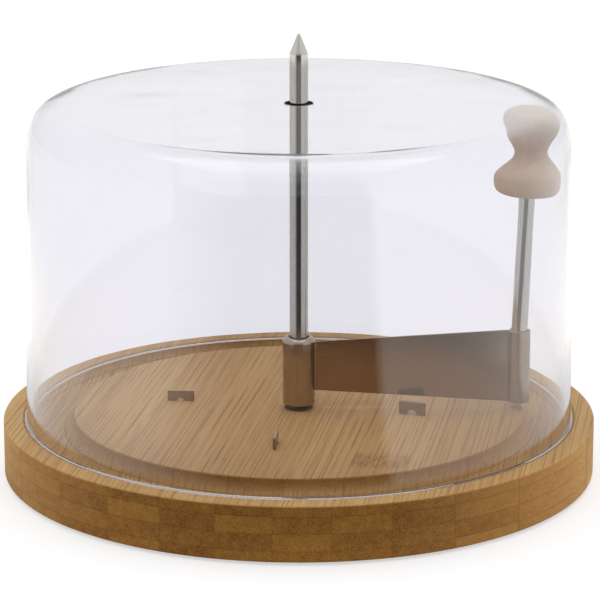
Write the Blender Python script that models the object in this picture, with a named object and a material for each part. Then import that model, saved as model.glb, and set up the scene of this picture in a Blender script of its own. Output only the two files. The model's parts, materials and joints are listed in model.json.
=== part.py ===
"""Turntable cheese curler: a bamboo board with a steel pin, a scraper that turns round it, and a clear dome.

Run it with blender --background --python part.py. Metres, +Z up. The origin is where the pin's axis
meets the surface that the feet stand on, and the scraper points along +X.
"""
import math

import bmesh
import bpy
from mathutils import Matrix, Vector

# Clearance between pieces that touch on the real object
GAP = 0.0003

# Board, with a rim, a round cove for the dome, and a flat middle that stands a little over the rim
BOARD_RADIUS = 0.1092
BOARD_THICKNESS = 0.0205
BOARD_MIDDLE_RISE = 0.0014
BOARD_TOP_ROUNDING = 0.0008
BOARD_BOTTOM_ROUNDING = 0.0012
RIM_WIDTH = 0.0072
COVE_WIDTH = 0.0184
COVE_DEPTH = 0.0060

# Rubber feet, set into shallow pockets under the board
FOOT_COUNT = 4
FOOT_RADIUS = 0.0060
FOOT_STAND_OFF = 0.0010
FOOT_POCKET_DEPTH = 0.0010
FOOT_CHAMFER = 0.0004
FOOT_INSET = 0.0292
FOOT_FIRST_ANGLE = math.radians(45)

# Clear dome, with a lip round its foot and a shoulder that is fuller than a round one
DOME_FOOT_INSET = 0.0013
DOME_LIP_WIDTH = 0.0008
DOME_LIP_HEIGHT = 0.0011
DOME_DRAFT = 0.0023
DOME_TOP_OVER_RIM = 0.1164
DOME_WALL = 0.0020
DOME_SHOULDER = 0.0150
DOME_SHOULDER_FULLNESS = 2.7
DOME_HOLE_CLEARANCE = 0.00165

# Centre pin
PIN_RADIUS = 0.0034
PIN_OVER_DOME = 0.0254
PIN_CONE_HEIGHT = 0.0071
PIN_TIP_RADIUS = 0.0005
PIN_SHOULDER = 0.0009
PIN_THREAD_CHAMFER = 0.0004

# Washer and nut that hold the pin from below, in a counterbore
PIN_WASHER_RADIUS = 0.0075
PIN_WASHER_THICKNESS = 0.0012
NUT_ACROSS_FLATS = 0.0080
NUT_HEIGHT = 0.0040
THREAD_PAST_NUT = 0.0007
NUT_RECESS = 0.0022
COUNTERBORE_CLEARANCE = 0.0015

# Lugs that stop the cheese from turning, driven in by hand and so not quite regular
LUG_ANGLES = [math.radians(angle) for angle in (-11.9, 79, 168.6, 259.9)]
LUG_TWISTS = [math.radians(angle) for angle in (-7.1, 0, 6.8, 4.1)]
LUG_DISTANCES = (0.0427, 0.0455, 0.0450, 0.0468)
LUG_HEIGHTS = (0.0048, 0.0042, 0.0040, 0.0043)
LUG_LENGTH = 0.0100
LUG_THICKNESS = 0.0010
LUG_ARCH_WIDTH = 0.0038
LUG_ARCH_BELOW_TOP = 0.0030
LUG_PRONG_DEPTH = 0.0050

# Flanged bush that carries the scraper on the pin
BUSH_WALL = 0.0010
BUSH_FLANGE_WIDTH = 0.0005
BUSH_FLANGE_THICKNESS = 0.0011

# Hub sleeve of the scraper, whose rounded top closes in over the bush
SLEEVE_WALL = 0.0010
SLEEVE_HEIGHT = 0.0258
SLEEVE_CHAMFER = 0.0006
SLEEVE_ROUNDING_HEIGHT = 0.0019
SLEEVE_CROWN = 0.0010
SLEEVE_HOLE_CLEARANCE = 0.0005

# Scraper blade, one strip of sheet with its outer end curled round the handle rod
BLADE_THICKNESS = 0.0008
BLADE_BELOW_ROUNDING = 0.0001
BLADE_BOTTOM_AT_SLEEVE = 0.0069
BLADE_TOP_AT_CURL = 0.0299
BLADE_BOTTOM_AT_CURL = 0.0026
BLADE_BEND_RADIUS = 0.0013
CURL_END_ANGLE = math.radians(508)

# Handle rod, upright in the curl and leaning away from the pin above its bend
ROD_RADIUS = 0.0030
ROD_BEND_OVER_CURL = 0.0007
ROD_LEAN = math.radians(2.1)
ROD_CHAMFER = 0.0003

# Knob, with heights along the leaning rod from the knob's bottom, and how square its round edges are
KNOB_HEIGHT = 0.0303
KNOB_BOTTOM_RADIUS = 0.0085
KNOB_SKIRT_RADIUS = 0.0126
KNOB_SKIRT_LEVEL = 0.0062
KNOB_SKIRT_FULLNESS = 3.0
KNOB_WAIST_RADIUS = 0.0062
KNOB_WAIST_LEVEL = 0.0163
KNOB_CAP_RADIUS = 0.0103
KNOB_CAP_LEVEL = 0.0255
KNOB_CAP_FULLNESS = 2.5
KNOB_WEB_LEVEL = 0.0193
KNOB_WEB_THICKNESS = 0.0022
KNOB_TO_DOME_WALL = 0.0007
KNOB_TO_DOME_CEILING = 0.0010

# Screw, washer and plug inside the knob
SCREW_RADIUS = 0.0015
SCREW_HEAD_RADIUS = 0.0030
SCREW_HEAD_HEIGHT = 0.0020
SCREW_IN_ROD = 0.0075
SCREW_HOLE_PAST_END = 0.0010
SCREW_SLOT_WIDTH = 0.0008
SCREW_SLOT_DEPTH = 0.0008
KNOB_WASHER_RADIUS = 0.0044
KNOB_WASHER_THICKNESS = 0.0008
KNOB_WASHER_CLEARANCE = 0.0005

# Facets round a full turn, and along curves
LARGE_SEGMENTS = 72
SMALL_SEGMENTS = 36
TINY_SEGMENTS = 24
COVE_STEPS = 10
SLEEVE_ROUNDING_STEPS = 4
SHOULDER_STEPS = 9
BLADE_BEND_STEPS = 4
CURL_STEPS = 26

# Board and cove sizes that follow
RIM_TOP = FOOT_STAND_OFF + BOARD_THICKNESS
BOARD_TOP = RIM_TOP + BOARD_MIDDLE_RISE
COVE_OUTER_RADIUS = BOARD_RADIUS - RIM_WIDTH
COVE_MIDDLE_RADIUS = COVE_OUTER_RADIUS - COVE_WIDTH / 2
COVE_ARC_RADIUS = ((COVE_WIDTH / 2) ** 2 + COVE_DEPTH ** 2) / (2 * COVE_DEPTH)
COVE_ARC_CENTER = RIM_TOP - COVE_DEPTH + COVE_ARC_RADIUS

# Pin and counterbore sizes that follow
PIN_THREAD_RADIUS = PIN_RADIUS - PIN_SHOULDER
PIN_HOLE_RADIUS = PIN_THREAD_RADIUS + GAP
COUNTERBORE_RADIUS = PIN_WASHER_RADIUS + COUNTERBORE_CLEARANCE
NUT_BOTTOM = FOOT_STAND_OFF + NUT_RECESS
PIN_WASHER_BOTTOM = NUT_BOTTOM + NUT_HEIGHT + GAP
COUNTERBORE_TOP = PIN_WASHER_BOTTOM + PIN_WASHER_THICKNESS + GAP

# Dome sizes that follow
DOME_TOP = RIM_TOP + DOME_TOP_OVER_RIM
DOME_FOOT_RADIUS = COVE_OUTER_RADIUS - DOME_FOOT_INSET
DOME_LIP_RADIUS = DOME_FOOT_RADIUS + DOME_LIP_WIDTH
DOME_FOOT_SLOPE = math.asin((DOME_LIP_RADIUS - COVE_MIDDLE_RADIUS) / COVE_ARC_RADIUS)
DOME_FOOT = COVE_ARC_CENTER - COVE_ARC_RADIUS * math.cos(DOME_FOOT_SLOPE) + GAP / math.cos(DOME_FOOT_SLOPE)

# Hub sizes that follow
BUSH_BORE_RADIUS = PIN_RADIUS + GAP
BUSH_RADIUS = BUSH_BORE_RADIUS + BUSH_WALL
SLEEVE_BORE_RADIUS = BUSH_RADIUS + GAP
SLEEVE_RADIUS = SLEEVE_BORE_RADIUS + SLEEVE_WALL
FLANGE_BOTTOM = BOARD_TOP + GAP
FLANGE_TOP = FLANGE_BOTTOM + BUSH_FLANGE_THICKNESS
SLEEVE_BOTTOM = FLANGE_TOP + GAP
SLEEVE_TOP = SLEEVE_BOTTOM + SLEEVE_HEIGHT
SLEEVE_ROUNDING_START = SLEEVE_TOP - SLEEVE_ROUNDING_HEIGHT
SLEEVE_HOLE_RADIUS = PIN_RADIUS + SLEEVE_HOLE_CLEARANCE

# Rod and knob sizes that follow, with the knob's heights along the rod from the rod's bend
CURL_RADIUS = ROD_RADIUS + GAP + BLADE_THICKNESS / 2
ROD_BEND = BOARD_TOP + BLADE_TOP_AT_CURL + ROD_BEND_OVER_CURL
KNOB_BOTTOM = (DOME_TOP - DOME_WALL - KNOB_TO_DOME_CEILING - ROD_BEND) / math.cos(ROD_LEAN) - KNOB_HEIGHT
KNOB_WEB_BOTTOM = KNOB_BOTTOM + KNOB_WEB_LEVEL
KNOB_WEB_TOP = KNOB_WEB_BOTTOM + KNOB_WEB_THICKNESS
KNOB_BORE_RADIUS = ROD_RADIUS + GAP
KNOB_POCKET_RADIUS = KNOB_WASHER_RADIUS + KNOB_WASHER_CLEARANCE
SCREW_HOLE_RADIUS = SCREW_RADIUS + GAP
ROD_TOP = KNOB_WEB_BOTTOM - GAP


def dome_wall_radius(height):
    """Return the outer radius of the dome's straight wall at a height."""
    return DOME_FOOT_RADIUS - DOME_DRAFT * (height - DOME_FOOT) / (DOME_TOP - DOME_FOOT)


def rod_distance():
    """Return the upright rod's distance from the pin, which leaves the knob's skirt clear of the dome."""
    along = KNOB_BOTTOM + KNOB_SKIRT_LEVEL
    height = ROD_BEND + along * math.cos(ROD_LEAN)
    inner_radius = dome_wall_radius(height) - DOME_WALL
    return inner_radius - KNOB_TO_DOME_WALL - KNOB_SKIRT_RADIUS - along * math.sin(ROD_LEAN)


ROD_DISTANCE = rod_distance()


def make_material(name, color, roughness, metallic=0.0, transmission=0.0):
    """Return a Principled material with the given look."""
    material = bpy.data.materials.new(name)
    material.use_nodes = True
    shader = material.node_tree.nodes["Principled BSDF"]
    shader.inputs["Base Color"].default_value = (*color, 1.0)
    shader.inputs["Roughness"].default_value = roughness
    shader.inputs["Metallic"].default_value = metallic
    shader.inputs["Transmission Weight"].default_value = transmission
    return material


def add_object(name, mesh_source, material, parent=None):
    """Turn a bmesh into a smooth-shaded object that carries its material."""
    mesh = bpy.data.meshes.new(name)
    mesh_source.to_mesh(mesh)
    mesh_source.free()
    mesh.shade_smooth()
    mesh.set_sharp_from_angle(angle=math.radians(30))
    mesh.materials.append(material)
    obj = bpy.data.objects.new(name, mesh)
    bpy.context.scene.collection.objects.link(obj)
    obj.parent = parent
    return obj


def add_empty(name, location, lean=0.0):
    """Add an empty that marks a joint's axis, leaning away from the pin in the XZ plane."""
    empty = bpy.data.objects.new(name, None)
    empty.location = location
    empty.rotation_euler = (0.0, lean, 0.0)
    empty.empty_display_size = 0.01
    bpy.context.scene.collection.objects.link(empty)
    return empty


def turn(outline, segments, closed=False):
    """Turn an outline of (radius, height) points once round the Z axis."""
    mesh = bmesh.new()
    points = [mesh.verts.new((radius, 0.0, height)) for radius, height in outline]
    for first, second in zip(points, points[1:]):
        mesh.edges.new((first, second))
    if closed:
        mesh.edges.new((points[-1], points[0]))
    bmesh.ops.spin(
        mesh, geom=mesh.verts[:] + mesh.edges[:], cent=(0, 0, 0), axis=(0, 0, 1),
        angle=2 * math.pi, steps=segments, use_merge=True, use_duplicate=False,
    )
    bmesh.ops.remove_doubles(mesh, verts=mesh.verts, dist=1e-7)
    bmesh.ops.recalc_face_normals(mesh, faces=mesh.faces)
    return mesh


def arc(center, radius, start, end, steps):
    """Return points on an arc of (radius, height) space, both ends included."""
    points = []
    for step in range(steps + 1):
        angle = start + (end - start) * step / steps
        points.append((center[0] + radius * math.cos(angle), center[1] + radius * math.sin(angle)))
    return points


def add_box(mesh, size, matrix):
    """Add a box to a bmesh, centred on the matrix's place."""
    bmesh.ops.create_cube(mesh, size=1.0, matrix=matrix @ Matrix.Diagonal((*size, 1.0)))


def add_cylinder(mesh, radius, height, matrix, segments):
    """Add a closed cylinder to a bmesh, centred on the matrix's place."""
    bmesh.ops.create_cone(
        mesh, cap_ends=True, segments=segments, radius1=radius, radius2=radius,
        depth=height, matrix=matrix,
    )


def cut(target, cutter_mesh, name):
    """Cut a target with the closed shapes of a bmesh, kept as a hidden wire object."""
    mesh = bpy.data.meshes.new(name)
    cutter_mesh.to_mesh(mesh)
    cutter_mesh.free()
    cutter = bpy.data.objects.new(name, mesh)
    bpy.context.scene.collection.objects.link(cutter)
    cutter.hide_render = True
    cutter.display_type = "WIRE"
    modifier = target.modifiers.new(name, "BOOLEAN")
    modifier.operation = "DIFFERENCE"
    modifier.object = cutter


def around(angle, radius, height=0.0):
    """Return the place and turn of something on a circle round the pin."""
    turned = Matrix.Rotation(angle, 4, "Z")
    return turned @ Matrix.Translation((radius, 0.0, height))


def foot_places():
    """Return the matrix of each foot's centre on the standing surface."""
    step = 2 * math.pi / FOOT_COUNT
    distance = BOARD_RADIUS - FOOT_INSET
    return [around(FOOT_FIRST_ANGLE + step * index, distance) for index in range(FOOT_COUNT)]


def cove_points():
    """Return the cove's hollow arc from its outer edge down and in to its higher inner edge."""
    middle = (COVE_MIDDLE_RADIUS, COVE_ARC_CENTER)
    outer_angle = math.acos((COVE_ARC_CENTER - RIM_TOP) / COVE_ARC_RADIUS)
    inner_angle = math.acos((COVE_ARC_CENTER - BOARD_TOP) / COVE_ARC_RADIUS)
    down = -math.pi / 2
    return arc(middle, COVE_ARC_RADIUS, down + outer_angle, down - inner_angle, COVE_STEPS)


def board_outline():
    """Return the board's closed outline with its pin hole and counterbore."""
    bottom = FOOT_STAND_OFF
    low_center = (BOARD_RADIUS - BOARD_BOTTOM_ROUNDING, bottom + BOARD_BOTTOM_ROUNDING)
    high_center = (BOARD_RADIUS - BOARD_TOP_ROUNDING, RIM_TOP - BOARD_TOP_ROUNDING)
    outline = [(COUNTERBORE_RADIUS, bottom)]
    outline += arc(low_center, BOARD_BOTTOM_ROUNDING, -math.pi / 2, 0.0, 3)
    outline += arc(high_center, BOARD_TOP_ROUNDING, 0.0, math.pi / 2, 4)
    outline += cove_points()
    outline += [(PIN_HOLE_RADIUS, BOARD_TOP), (PIN_HOLE_RADIUS, COUNTERBORE_TOP)]
    outline += [(COUNTERBORE_RADIUS, COUNTERBORE_TOP)]
    return outline


def lug_places():
    """Return where each lug stands on the board, as a matrix per lug."""
    rows = zip(LUG_ANGLES, LUG_DISTANCES, LUG_TWISTS)
    return [
        around(angle, distance, BOARD_TOP) @ Matrix.Rotation(twist, 4, "Z")
        for angle, distance, twist in rows
    ]


def make_board(material):
    """Model the board: a turned disc with slots for the lugs and pockets for the feet."""
    board = add_object("base_board", turn(board_outline(), LARGE_SEGMENTS, closed=True), material)
    slots = bmesh.new()
    prong = (LUG_LENGTH - LUG_ARCH_WIDTH) / 2
    offset = (LUG_LENGTH - prong) / 2
    depth = LUG_PRONG_DEPTH + GAP
    size = (prong + 2 * GAP, LUG_THICKNESS + 2 * GAP, 2 * depth)
    for place in lug_places():
        for side in (-offset, offset):
            add_box(slots, size, place @ Matrix.Translation((side, 0.0, 0.0)))
    cut(board, slots, "lug_slots")
    pockets = bmesh.new()
    pocket_height = 2 * FOOT_POCKET_DEPTH
    for place in foot_places():
        lifted = place @ Matrix.Translation((0.0, 0.0, FOOT_STAND_OFF))
        add_cylinder(pockets, FOOT_RADIUS + GAP, pocket_height, lifted, SMALL_SEGMENTS)
    cut(board, pockets, "foot_pockets")


def make_feet(material):
    """Model the rubber feet, each one a low disc in its pocket."""
    height = FOOT_STAND_OFF + FOOT_POCKET_DEPTH - GAP
    outline = [
        (0.0, 0.0), (FOOT_RADIUS - FOOT_CHAMFER, 0.0), (FOOT_RADIUS, FOOT_CHAMFER),
        (FOOT_RADIUS, height), (0.0, height),
    ]
    for index, place in enumerate(foot_places(), start=1):
        foot = add_object(f"foot_{index}", turn(outline, SMALL_SEGMENTS), material)
        foot.matrix_world = place


def make_pin(material):
    """Model the pin: a pointed rod whose thinner threaded end goes down through the board."""
    top = DOME_TOP + PIN_OVER_DOME
    cone_base = top - PIN_CONE_HEIGHT
    shoulder = BOARD_TOP + GAP
    end = NUT_BOTTOM - THREAD_PAST_NUT
    slope = math.atan2(PIN_CONE_HEIGHT, PIN_RADIUS)
    tip_center = (0.0, top - PIN_TIP_RADIUS)
    outline = [
        (0.0, end), (PIN_THREAD_RADIUS - PIN_THREAD_CHAMFER, end),
        (PIN_THREAD_RADIUS, end + PIN_THREAD_CHAMFER), (PIN_THREAD_RADIUS, shoulder),
        (PIN_RADIUS, shoulder), (PIN_RADIUS, cone_base),
    ]
    outline += arc(tip_center, PIN_TIP_RADIUS, math.pi / 2 - slope, math.pi / 2, 4)
    outline[-1] = (0.0, top)
    add_object("center_pin", turn(outline, SMALL_SEGMENTS), material)


def make_washer(name, inner, outer, bottom, thickness, material, parent=None):
    """Model a flat washer as a turned ring."""
    outline = [(inner, bottom), (outer, bottom), (outer, bottom + thickness), (inner, bottom + thickness)]
    return add_object(name, turn(outline, SMALL_SEGMENTS, closed=True), material, parent)


def make_pin_fixing(material):
    """Model the washer and the hexagon nut under the board."""
    make_washer(
        "pin_washer", PIN_HOLE_RADIUS, PIN_WASHER_RADIUS, PIN_WASHER_BOTTOM, PIN_WASHER_THICKNESS, material,
    )
    corner_radius = NUT_ACROSS_FLATS / 2 / math.cos(math.pi / 6)
    nut = bmesh.new()
    middle = Matrix.Translation((0.0, 0.0, NUT_BOTTOM + NUT_HEIGHT / 2))
    add_cylinder(nut, corner_radius, NUT_HEIGHT, middle, 6)
    bore = bmesh.new()
    add_cylinder(bore, PIN_HOLE_RADIUS, 2 * NUT_HEIGHT, middle, TINY_SEGMENTS)
    cut(add_object("pin_nut", nut, material), bore, "nut_bore")


def lug_side_outline(height):
    """Return a lug's outline in its own plane: a plate with an arch between two prongs."""
    half = LUG_LENGTH / 2
    arch = LUG_ARCH_WIDTH / 2
    arch_top = height - LUG_ARCH_BELOW_TOP
    outline = [(half, height), (-half, height), (-half, -LUG_PRONG_DEPTH), (-arch, -LUG_PRONG_DEPTH)]
    outline += [(-arch, arch_top - arch / 2)]
    outline += [(-arch / 2, arch_top), (arch / 2, arch_top)]
    outline += [(arch, arch_top - arch / 2), (arch, -LUG_PRONG_DEPTH), (half, -LUG_PRONG_DEPTH)]
    return outline


def make_lugs(material):
    """Model the four lugs, each one a small plate driven into the board."""
    for index, (place, height) in enumerate(zip(lug_places(), LUG_HEIGHTS), start=1):
        plate = bmesh.new()
        side = LUG_THICKNESS / 2
        corners = [plate.verts.new((x, -side, z)) for x, z in lug_side_outline(height)]
        face = plate.faces.new(corners)
        extruded = bmesh.ops.extrude_face_region(plate, geom=[face])["geom"]
        moved = [item for item in extruded if isinstance(item, bmesh.types.BMVert)]
        bmesh.ops.translate(plate, verts=moved, vec=(0.0, LUG_THICKNESS, 0.0))
        bmesh.ops.recalc_face_normals(plate, faces=plate.faces)
        lug = add_object(f"cheese_lug_{index}", plate, material)
        lug.matrix_world = place


def make_bush(material, parent):
    """Model the flanged bush: its flange lies on the board and its barrel lines the sleeve."""
    flange_radius = BUSH_RADIUS + BUSH_FLANGE_WIDTH
    top = SLEEVE_TOP - SLEEVE_CROWN - GAP
    outline = [
        (BUSH_BORE_RADIUS, FLANGE_BOTTOM), (flange_radius, FLANGE_BOTTOM), (flange_radius, FLANGE_TOP),
        (BUSH_RADIUS, FLANGE_TOP), (BUSH_RADIUS, top), (BUSH_BORE_RADIUS, top),
    ]
    add_object("hub_bush", turn(outline, SMALL_SEGMENTS, closed=True), material, parent)


def make_sleeve(material, parent):
    """Model the hub sleeve that turns round the bush, with a rounded top and a hole for the pin."""
    crown_bottom = SLEEVE_TOP - SLEEVE_CROWN
    outline = [
        (SLEEVE_HOLE_RADIUS, crown_bottom), (SLEEVE_BORE_RADIUS, crown_bottom),
        (SLEEVE_BORE_RADIUS, SLEEVE_BOTTOM), (SLEEVE_RADIUS - SLEEVE_CHAMFER, SLEEVE_BOTTOM),
        (SLEEVE_RADIUS, SLEEVE_BOTTOM + SLEEVE_CHAMFER),
    ]
    for step in range(SLEEVE_ROUNDING_STEPS + 1):
        angle = math.pi / 2 * step / SLEEVE_ROUNDING_STEPS
        radius = SLEEVE_HOLE_RADIUS + (SLEEVE_RADIUS - SLEEVE_HOLE_RADIUS) * math.cos(angle)
        outline.append((radius, SLEEVE_ROUNDING_START + SLEEVE_ROUNDING_HEIGHT * math.sin(angle)))
    add_object("hub_sleeve", turn(outline, SMALL_SEGMENTS, closed=True), material, parent)


def blade_path():
    """Return the blade's centre line seen from above as (place, direction) pairs.

    It runs straight out from the sleeve, bends forwards, and curls round the handle rod.
    """
    bend_turn = math.acos(BLADE_BEND_RADIUS / (CURL_RADIUS + BLADE_BEND_RADIUS))
    bend_start = ROD_DISTANCE - (CURL_RADIUS + BLADE_BEND_RADIUS) * math.sin(bend_turn)
    curl_start = 3 * math.pi / 2 - bend_turn
    path = [(Vector((SLEEVE_RADIUS + GAP, 0.0)), Vector((1.0, 0.0)))]
    for step in range(BLADE_BEND_STEPS + 1):
        turned = bend_turn * step / BLADE_BEND_STEPS
        place = Vector((math.sin(turned), math.cos(turned) - 1.0)) * BLADE_BEND_RADIUS
        path.append((Vector((bend_start, 0.0)) + place, Vector((math.cos(turned), -math.sin(turned)))))
    for step in range(1, CURL_STEPS + 1):
        angle = curl_start + (CURL_END_ANGLE - curl_start) * step / CURL_STEPS
        outward = Vector((math.cos(angle), math.sin(angle)))
        place = Vector((ROD_DISTANCE, 0.0)) + outward * CURL_RADIUS
        path.append((place, Vector((-outward.y, outward.x))))
    return path


def blade_edges(share):
    """Return the heights of the blade's lower and upper edge at a share of its length."""
    low_start = BOARD_TOP + BLADE_BOTTOM_AT_SLEEVE
    low_end = BOARD_TOP + BLADE_BOTTOM_AT_CURL
    high_start = SLEEVE_ROUNDING_START - BLADE_BELOW_ROUNDING
    high_end = BOARD_TOP + BLADE_TOP_AT_CURL
    return low_start + (low_end - low_start) * share, high_start + (high_end - high_start) * share


def make_blade(material, parent):
    """Model the blade as an upright strip that follows its path."""
    path = blade_path()
    mesh = bmesh.new()
    rings = []
    for index, (place, direction) in enumerate(path):
        low, high = blade_edges(0.0 if index == 0 else 1.0)
        side = Vector((-direction.y, direction.x)) * BLADE_THICKNESS / 2
        right = place - side
        left = place + side
        corners = [(right, low), (left, low), (left, high), (right, high)]
        rings.append([mesh.verts.new((point.x, point.y, height)) for point, height in corners])
    for first, second in zip(rings, rings[1:]):
        for corner in range(4):
            following = (corner + 1) % 4
            mesh.faces.new((first[corner], first[following], second[following], second[corner]))
    mesh.faces.new(rings[0][::-1])
    mesh.faces.new(rings[-1])
    bmesh.ops.recalc_face_normals(mesh, faces=mesh.faces)
    add_object("scraper_blade", mesh, material, parent)


def make_rod(material, handle_axis, parent):
    """Model the handle rod, turned upright and then bent, with the screw's hole in its top."""
    base = BOARD_TOP + BLADE_BOTTOM_AT_CURL - ROD_BEND
    hole_end = ROD_TOP - SCREW_IN_ROD - SCREW_HOLE_PAST_END
    outline = [
        (0.0, base), (ROD_RADIUS - ROD_CHAMFER, base), (ROD_RADIUS, base + ROD_CHAMFER),
        (ROD_RADIUS, 0.0), (ROD_RADIUS, ROD_TOP - ROD_CHAMFER), (ROD_RADIUS - ROD_CHAMFER, ROD_TOP),
        (SCREW_HOLE_RADIUS, ROD_TOP), (SCREW_HOLE_RADIUS, hole_end), (0.0, hole_end),
    ]
    rod = turn(outline, SMALL_SEGMENTS)
    upright = Matrix.Translation(handle_axis.location)
    for vert in rod.verts:
        placed = handle_axis.matrix_world if vert.co.z > 0.0 else upright
        vert.co = placed @ vert.co
    add_object("handle_rod", rod, material, parent)


def swell(share, fullness):
    """Return how far a rounded edge has swelled at a share of its depth, from 0 to 1."""
    return (1.0 - (1.0 - share) ** fullness) ** (1 / fullness)


def ease(share):
    """Return a smooth S-shaped step from 0 to 1."""
    return (1.0 - math.cos(math.pi * share)) / 2


def cap_point(share):
    """Return the knob's outline point over the cap's widest ring, from 0 there to 1 at the top."""
    radius = KNOB_CAP_RADIUS * swell(1.0 - share, KNOB_CAP_FULLNESS)
    return radius, KNOB_BOTTOM + KNOB_CAP_LEVEL + (KNOB_HEIGHT - KNOB_CAP_LEVEL) * share


def pocket_share():
    """Return the share of the cap's height at which the screw's pocket opens."""
    return swell(1.0 - KNOB_POCKET_RADIUS / KNOB_CAP_RADIUS, KNOB_CAP_FULLNESS)


def knob_outline():
    """Return the knob's outside from its bottom up over skirt, waist and cap to the pocket's edge."""
    outline = []
    for share in (0.0, 0.15, 0.4, 0.7):
        width = swell(share, KNOB_SKIRT_FULLNESS)
        radius = KNOB_BOTTOM_RADIUS + (KNOB_SKIRT_RADIUS - KNOB_BOTTOM_RADIUS) * width
        outline.append((radius, KNOB_BOTTOM + KNOB_SKIRT_LEVEL * share))
    levels = [
        (KNOB_SKIRT_RADIUS, KNOB_SKIRT_LEVEL), (KNOB_WAIST_RADIUS, KNOB_WAIST_LEVEL),
        (KNOB_CAP_RADIUS, KNOB_CAP_LEVEL),
    ]
    for (radius, level), (next_radius, next_level) in zip(levels, levels[1:]):
        for step in range(5):
            share = step / 5
            height = KNOB_BOTTOM + level + (next_level - level) * share
            outline.append((radius + (next_radius - radius) * ease(share), height))
    outline += [cap_point(pocket_share() * share) for share in (0.0, 0.45, 0.75, 0.92, 1.0)]
    return outline


def make_knob(material, parent):
    """Model the turned wooden knob with its bore, its web and the screw's pocket."""
    outline = knob_outline()
    outline += [(KNOB_POCKET_RADIUS, KNOB_WEB_TOP), (SCREW_HOLE_RADIUS, KNOB_WEB_TOP)]
    outline += [(SCREW_HOLE_RADIUS, KNOB_WEB_BOTTOM), (KNOB_BORE_RADIUS, KNOB_WEB_BOTTOM)]
    outline += [(KNOB_BORE_RADIUS, KNOB_BOTTOM)]
    add_object("knob", turn(outline, SMALL_SEGMENTS, closed=True), material, parent)


def make_knob_fixing(steel, wood, parent):
    """Model the washer, the screw and the wooden plug inside the knob."""
    washer_bottom = KNOB_WEB_TOP + GAP
    make_washer(
        "knob_washer", SCREW_HOLE_RADIUS, KNOB_WASHER_RADIUS, washer_bottom,
        KNOB_WASHER_THICKNESS, steel, parent,
    )
    head_bottom = washer_bottom + KNOB_WASHER_THICKNESS + GAP
    head_top = head_bottom + SCREW_HEAD_HEIGHT
    end = ROD_TOP - SCREW_IN_ROD
    outline = [
        (0.0, end), (SCREW_RADIUS, end), (SCREW_RADIUS, head_bottom),
        (SCREW_HEAD_RADIUS, head_bottom), (SCREW_HEAD_RADIUS, head_top), (0.0, head_top),
    ]
    screw = add_object("knob_screw", turn(outline, TINY_SEGMENTS), steel, parent)
    slot = bmesh.new()
    slot_place = parent.matrix_world @ Matrix.Translation((0.0, 0.0, head_top))
    add_box(slot, (3 * SCREW_HEAD_RADIUS, SCREW_SLOT_WIDTH, 2 * SCREW_SLOT_DEPTH), slot_place)
    cut(screw, slot, "screw_slot")
    plug_radius = KNOB_POCKET_RADIUS - GAP
    edge_height = cap_point(pocket_share())[1]
    outline = [
        (0.0, head_top + GAP), (plug_radius, head_top + GAP), (plug_radius, edge_height),
        (plug_radius / 2, KNOB_BOTTOM + KNOB_HEIGHT), (0.0, KNOB_BOTTOM + KNOB_HEIGHT),
    ]
    add_object("knob_plug", turn(outline, SMALL_SEGMENTS), wood, parent)


def dome_side(inset, shoulder, top):
    """Return the dome's wall and shoulder, set inwards, from over the foot up to the flat top."""
    center_radius = dome_wall_radius(top - shoulder) - inset - shoulder
    outline = []
    for out, up in arc((0.0, 0.0), 1.0, 0.0, math.pi / 2, SHOULDER_STEPS):
        across = shoulder * abs(out) ** (2 / DOME_SHOULDER_FULLNESS)
        along = shoulder * abs(up) ** (2 / DOME_SHOULDER_FULLNESS)
        outline.append((center_radius + across, top - shoulder + along))
    return outline


def make_dome(material, parent):
    """Model the dome: a thin turned shell with a lip round its foot and a hole in its top for the pin."""
    hole = PIN_RADIUS + DOME_HOLE_CLEARANCE
    ceiling = DOME_TOP - DOME_WALL
    lip_top = DOME_FOOT + DOME_LIP_HEIGHT
    outline = [
        (DOME_FOOT_RADIUS - DOME_WALL, DOME_FOOT), (DOME_LIP_RADIUS, DOME_FOOT),
        (DOME_LIP_RADIUS, lip_top), (dome_wall_radius(lip_top), lip_top),
    ]
    outline += dome_side(0.0, DOME_SHOULDER, DOME_TOP) + [(hole, DOME_TOP), (hole, ceiling)]
    outline += dome_side(DOME_WALL, DOME_SHOULDER - DOME_WALL, ceiling)[::-1]
    add_object("dome", turn(outline, LARGE_SEGMENTS, closed=True), material, parent)


def clear_scene():
    """Remove whatever the scene holds before the model is built."""
    for obj in list(bpy.data.objects):
        bpy.data.objects.remove(obj, do_unlink=True)


def main():
    """Build every piece of the cheese curler."""
    clear_scene()
    bamboo = make_material("bamboo", (0.42, 0.25, 0.10), 0.45)
    beech = make_material("beech", (0.62, 0.45, 0.29), 0.55)
    steel = make_material("steel", (0.62, 0.61, 0.58), 0.22, metallic=1.0)
    zinc = make_material("zinc_plate", (0.60, 0.60, 0.62), 0.35, metallic=1.0)
    nylon = make_material("nylon", (0.033, 0.033, 0.033), 0.40)
    rubber = make_material("rubber", (0.06, 0.06, 0.06), 0.80)
    acrylic = make_material("acrylic", (0.90, 0.90, 0.95), 0.03, transmission=1.0)
    scraper_axis = add_empty("scraper_axis", (0.0, 0.0, 0.0))
    handle_axis = add_empty("handle_axis", (ROD_DISTANCE, 0.0, ROD_BEND), ROD_LEAN)
    bpy.context.view_layer.update()
    make_board(bamboo)
    make_feet(rubber)
    make_pin(steel)
    make_pin_fixing(zinc)
    make_lugs(steel)
    make_bush(nylon, scraper_axis)
    make_sleeve(steel, scraper_axis)
    make_blade(steel, scraper_axis)
    make_rod(steel, handle_axis, scraper_axis)
    make_knob(beech, handle_axis)
    make_knob_fixing(zinc, beech, handle_axis)
    make_dome(acrylic, scraper_axis)


main()
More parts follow.
